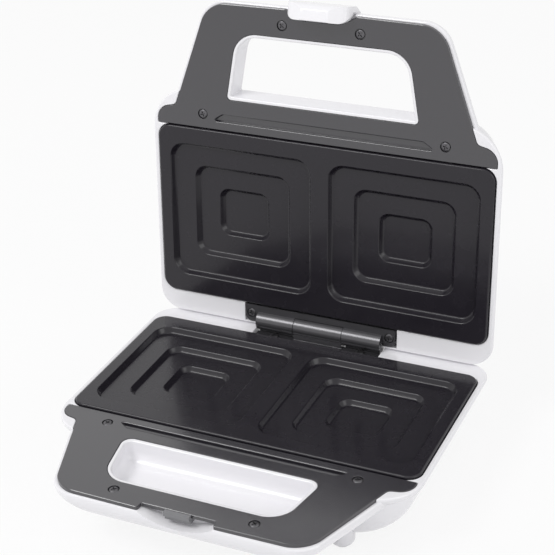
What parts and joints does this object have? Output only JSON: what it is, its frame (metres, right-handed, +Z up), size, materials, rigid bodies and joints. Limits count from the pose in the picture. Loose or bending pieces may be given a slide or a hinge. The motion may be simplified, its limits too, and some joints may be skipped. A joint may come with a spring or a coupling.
{
  "type": "sandwich toaster",
  "caption": "Countertop toaster with a hinged lid, facing non-stick plates with stepped square pockets, a grip on both halves and a front latch clip.",
  "frame": {"origin": "on the ground under the middle of the open toaster's footprint, at the bottom of the rubber foot pads", "axes": "+Z up, +Y from the handles to the hinge at the back, +X to the right as seen from the handle side; the lid stands open at its stop"},
  "size_m": [0.248, 0.2683, 0.2813],
  "materials": {
    "casing_plastic": "moulded, glossy",
    "trim_plastic": "moulded, satin",
    "coated_aluminium": "cast aluminium with a satin non-stick coating",
    "screw_steel": "blackened steel",
    "pin_steel": "bright steel",
    "sheet_steel": "bright sheet",
    "element_steel": "drawn steel tube",
    "hinge_black": "satin black",
    "catch_plastic": "moulded, mid grey",
    "pad_rubber": "moulded rubber",
    "inlet_rubber": "moulded rubber",
    "thermostat_body": "moulded body",
    "fuse_sleeve": "glass-fibre sleeve",
    "terminal_plastic": "moulded body",
    "lead_sleeve": "heat-resistant sleeve",
    "red_lens": "clear tinted lens",
    "green_lens": "clear tinted lens",
    "lamp_glass": "small glass lamp"
  },
  "bodies": {
    "base": {"base_casing": "casing_plastic", "base_trim": "trim_plastic", "base_trim_screws": "screw_steel", "base_plate": "coated_aluminium", "base_heater": "element_steel", "base_reflector": "sheet_steel", "base_plate_nuts": "sheet_steel", "hinge_base_bracket": "hinge_black", "base_hinge_screws": "screw_steel", "hinge_pin": "pin_steel", "latch_catch": "catch_plastic", "foot_pads": "pad_rubber", "thermostat": "thermostat_body", "thermal_fuse": "fuse_sleeve", "terminal_block": "terminal_plastic", "cord_inlet": "inlet_rubber", "base_leads": "lead_sleeve"},
    "lid": {"lid_casing": "casing_plastic", "lid_trim": "trim_plastic", "lid_trim_screws": "screw_steel", "lid_plate": "coated_aluminium", "lid_heater": "element_steel", "lid_reflector": "sheet_steel", "lid_plate_nuts": "sheet_steel", "hinge_lid_bracket": "hinge_black", "lid_hinge_screws": "screw_steel", "power_lamp_lens": "red_lens", "ready_lamp_lens": "green_lens", "neon_lamps": "lamp_glass", "lid_leads": "lead_sleeve", "latch_pin": "pin_steel"},
    "clip": {"latch_clip": "casing_plastic"}
  },
  "joints": [
    {"name": "lid_hinge", "type": "hinge", "parent": "base", "child": "lid", "pos_m": [0, 0.08836, 0.0494], "axis": [1, 0, 0], "range_deg": [0, 94]},
    {"name": "clip_pivot", "type": "hinge", "parent": "lid", "child": "clip", "pos_m": [0, 0.11282, 0.26883], "axis": [1, 0, 0], "range_deg": [0, 15]}
  ]
}
